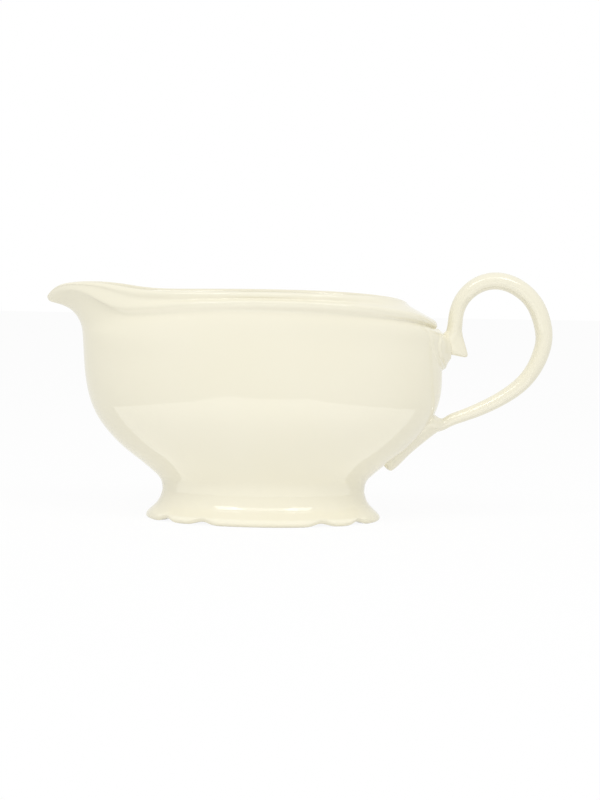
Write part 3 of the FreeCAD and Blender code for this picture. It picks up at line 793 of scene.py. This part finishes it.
def white_floor():
    """Material that shows mostly its own white, so the boat's shadow stays faint."""
    grey = (FLOOR_GREY, FLOOR_GREY, FLOOR_GREY, 1)
    material = plain("floor_white", grey, FLOOR_ROUGHNESS)
    tree = material.node_tree
    glow = node(tree, "ShaderNodeEmission", None, {"Color": (1, 1, 1, 1), "Strength": 1.0})
    lit = Value(tree, tree.nodes["Principled BSDF"].outputs["BSDF"])
    mixed = node(tree, "ShaderNodeMixShader", None,
                 {0: seen_as_white(tree) * FLOOR_GLOW, 1: lit, 2: glow})
    tree.links.new(mixed.socket, tree.nodes["Material Output"].inputs["Surface"])
    return material


def white_sheet():
    """Bright sheet on the floor that shows in glosses and lights nothing."""
    bpy.ops.mesh.primitive_plane_add(size=1.0, location=SHEET_CENTRE)
    sheet = bpy.context.object
    sheet.name = "white_sheet"
    sheet.scale = SHEET_SIZE
    material = plain("white_sheet", (0.0, 0.0, 0.0, 1), 1.0)
    shader = material.node_tree.nodes["Principled BSDF"]
    shader.inputs["Emission Color"].default_value = (1, 1, 1, 1)
    shader.inputs["Emission Strength"].default_value = SHEET_LEVEL
    material.cycles.emission_sampling = "NONE"
    sheet.data.materials.append(material)
    sheet.visible_camera = False
    sheet.visible_diffuse = False
    sheet.visible_shadow = False


def make_stage():
    """White floor and a bright sheet in a white room, with soft panels overhead."""
    bpy.ops.mesh.primitive_plane_add(size=FLOOR_SIZE, location=(0, 0, 0))
    floor = bpy.context.object
    floor.name = "floor"
    floor.data.materials.append(white_floor())
    world = bpy.data.worlds.new("studio")
    world.use_nodes = True
    tree = world.node_tree
    background = tree.nodes["Background"]
    background.inputs["Color"].default_value = (1.0, 1.0, 1.0, 1)
    level = ROOM_LEVEL + seen_as_white(tree) * (1 - ROOM_LEVEL)
    tree.links.new(level.socket, background.inputs["Strength"])
    bpy.context.scene.world = world
    bpy.context.scene.view_settings.view_transform = "Standard"
    for name, x, width, depth, power in PANELS:
        panel_light(name, (x, *PANEL_PLACE), PANEL_TARGET, width, depth, power)
    white_sheet()


def make_boat(cream):
    """All pieces of the boat."""
    angle = ring_angles(AROUND, CROWDING)
    foot_rings = foot_outside(angle)
    rings = foot_rings + bowl_outside(angle) + bowl_inside(angle)
    body = through(rings, BODY_STEPS)
    normals = grid_normals(body)
    joint = (len(foot_rings) - 1) * BODY_STEPS
    base = joint + BODY_STEPS
    hollow = through(foot_inside(angle), BODY_STEPS)
    foot_grid = np.concatenate([body[:joint + 1], hollow])
    foot_normals = np.concatenate([normals[:joint + 1], grid_normals(hollow)])
    foot = piece("foot_glazed", foot_grid, foot_normals, cream, closed=True)
    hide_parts("foot")
    slip_rows = slice(joint, base + 1)
    inner_top = foot_ring(angle, 0.0, FOOT_WALL, FOOT_HEIGHT, 0.0)
    inner_base = foot_ring(angle, 0.0, FOOT_WALL, BOWL_BASE, 0.0)
    slip_back = np.stack([inner_base, inner_top])
    slip_grid = np.concatenate([slip_back, body[slip_rows]])
    slip_normals = np.concatenate([grid_normals(slip_back), normals[slip_rows]])
    slip = piece("foot_joint_slip_glazed", slip_grid, slip_normals, cream, closed=True)
    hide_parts("foot_joint_slip")
    bowl = piece("bowl_glazed", body[base:], normals[base:], cream)
    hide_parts("bowl")

    around = np.linspace(0, 2 * np.pi, TUBE_AROUND, endpoint=False)
    loop = arm_foot_rings(around) + loop_rings(around)
    tube = through(loop + leaf_rings(around), TUBE_STEPS)
    normals = grid_normals(tube)
    root = (len(loop) - 1) * TUBE_STEPS
    handle = piece("handle_glazed", tube[:root + 1], normals[:root + 1], cream)
    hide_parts("handle", "upper_joint_slip", "lower_joint_slip")
    leaf = piece("lower_leaf_glazed", tube[root:], normals[root:], cream)
    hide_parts("lower_leaf")
    upper = upper_leaf_grid()
    upper_leaf = piece("upper_leaf_glazed", upper, grid_normals(upper), cream)
    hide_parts("upper_leaf")
    made = [foot, slip, bowl, handle, leaf, upper_leaf]
    for part in made:
        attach(part, "root")


make_camera()
make_stage()
make_boat(glaze("cream_glaze", THIN_GLAZE, POOLED_GLAZE))
